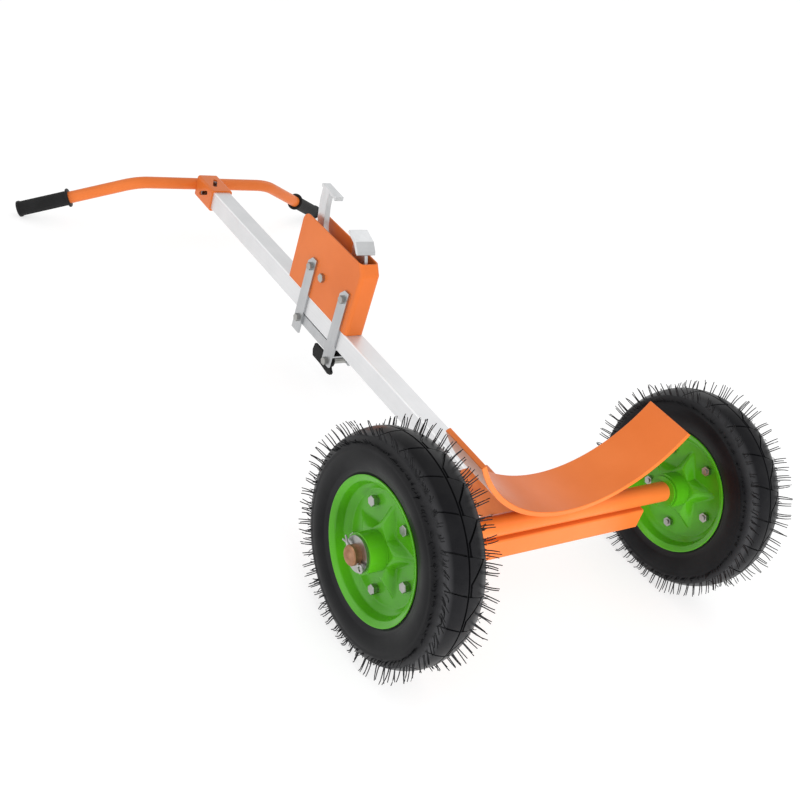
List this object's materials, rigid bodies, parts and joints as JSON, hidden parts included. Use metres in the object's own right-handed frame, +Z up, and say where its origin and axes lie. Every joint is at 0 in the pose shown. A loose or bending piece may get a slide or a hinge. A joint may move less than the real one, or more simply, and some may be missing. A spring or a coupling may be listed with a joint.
{
  "type": "drum trolley",
  "caption": "Two-wheeled drum trolley: a curved cradle over the axle, a square main tube with a sliding jaw clamp, and a bent handlebar with grips.",
  "frame": {"origin": "on the floor, in the middle of the trolley's length and width, as it rests on its wheels and grips", "axes": "+X from the handlebar towards the drum cradle, +Y to the operator's left, +Z up"},
  "size_m": [1.9294, 0.956, 0.425],
  "materials": {
    "orange_paint": "glossy orange paint",
    "green_paint": "glossy bright green paint",
    "bright_tube": "bright zinc-plated tube",
    "strap_steel": "zinc-plated flat steel",
    "jaw_steel": "bright cast steel",
    "zinc_fasteners": "zinc-plated fasteners",
    "bearing_steel": "ground bearing steel",
    "copper_axle": "steel bar with a copper-coloured finish",
    "tyre_rubber": "new black tyre rubber",
    "inner_rubber": "black butyl rubber",
    "grip_rubber": "black moulded rubber",
    "black_plastic": "black moulded plastic"
  },
  "bodies": {
    "frame": {"main_tube": "bright_tube", "tube_socket": "orange_paint", "socket_bolts": "zinc_fasteners", "socket_nuts": "zinc_fasteners", "frame_gussets": "orange_paint", "axle_tube": "orange_paint", "cross_beam": "orange_paint", "cradle": "orange_paint", "axle": "copper_axle", "axle_washers": "zinc_fasteners", "dust_washers": "green_paint", "split_pins": "zinc_fasteners", "bearing_inner_rings": "bearing_steel", "handlebar_sleeve": "orange_paint", "handlebar": "orange_paint", "right_grip": "grip_rubber", "left_grip": "grip_rubber"},
    "right_wheel": {"right_tyre": "tyre_rubber", "right_tyre_hairs": "tyre_rubber", "right_inner_tube": "inner_rubber", "right_valve_stem": "inner_rubber", "right_valve_cap": "black_plastic", "right_rim_outer_half": "green_paint", "right_rim_inner_half": "green_paint", "right_hub": "green_paint", "right_bearing_outer_rings": "bearing_steel", "right_bearing_balls": "bearing_steel", "right_rim_bolts": "zinc_fasteners", "right_rim_nuts": "zinc_fasteners"},
    "left_wheel": {"left_tyre": "tyre_rubber", "left_tyre_hairs": "tyre_rubber", "left_inner_tube": "inner_rubber", "left_valve_stem": "inner_rubber", "left_valve_cap": "black_plastic", "left_rim_outer_half": "green_paint", "left_rim_inner_half": "green_paint", "left_hub": "green_paint", "left_bearing_outer_rings": "bearing_steel", "left_bearing_balls": "bearing_steel", "left_rim_bolts": "zinc_fasteners", "left_rim_nuts": "zinc_fasteners"},
    "carriage": {"clamp_housing": "orange_paint", "right_front_strap": "strap_steel", "right_rear_strap": "strap_steel", "left_front_strap": "strap_steel", "left_rear_strap": "strap_steel", "strap_bolts": "zinc_fasteners", "strap_nuts": "zinc_fasteners", "lever_pivot_bolt": "zinc_fasteners", "lever_pivot_nut": "zinc_fasteners", "jaw_pivot_bolt": "zinc_fasteners", "jaw_pivot_nut": "zinc_fasteners", "rear_spacer": "zinc_fasteners", "lever_spacers": "zinc_fasteners", "jaw_bushes": "zinc_fasteners", "clamp_shoe": "strap_steel", "lower_jaw": "jaw_steel"},
    "upper_jaw": {"upper_jaw": "jaw_steel"},
    "lock_lever": {"lock_lever": "black_plastic"}
  },
  "joints": [
    {"name": "right_wheel_spin", "type": "hinge", "parent": "frame", "child": "right_wheel", "pos_m": [0.75137, -0.366, 0.2025], "axis": [0, 1, 0], "continuous": true},
    {"name": "left_wheel_spin", "type": "hinge", "parent": "frame", "child": "left_wheel", "pos_m": [0.75137, 0.366, 0.2025], "axis": [0, 1, 0], "continuous": true},
    {"name": "clamp_slide", "type": "slide", "parent": "frame", "child": "carriage", "axis": [-0.9995, 0, 0.0312], "range_m": [-0.461, 0.443]},
    {"name": "upper_jaw_pivot", "type": "hinge", "parent": "carriage", "child": "upper_jaw", "pos_m": [-0.11199, 0, 0.23644], "axis": [0, 1, 0], "range_deg": [-8, 30]},
    {"name": "lock_lever_pivot", "type": "hinge", "parent": "carriage", "child": "lock_lever", "pos_m": [-0.01312, 0, 0.07028], "axis": [0, 1, 0], "range_deg": [-35, 0]}
  ]
}
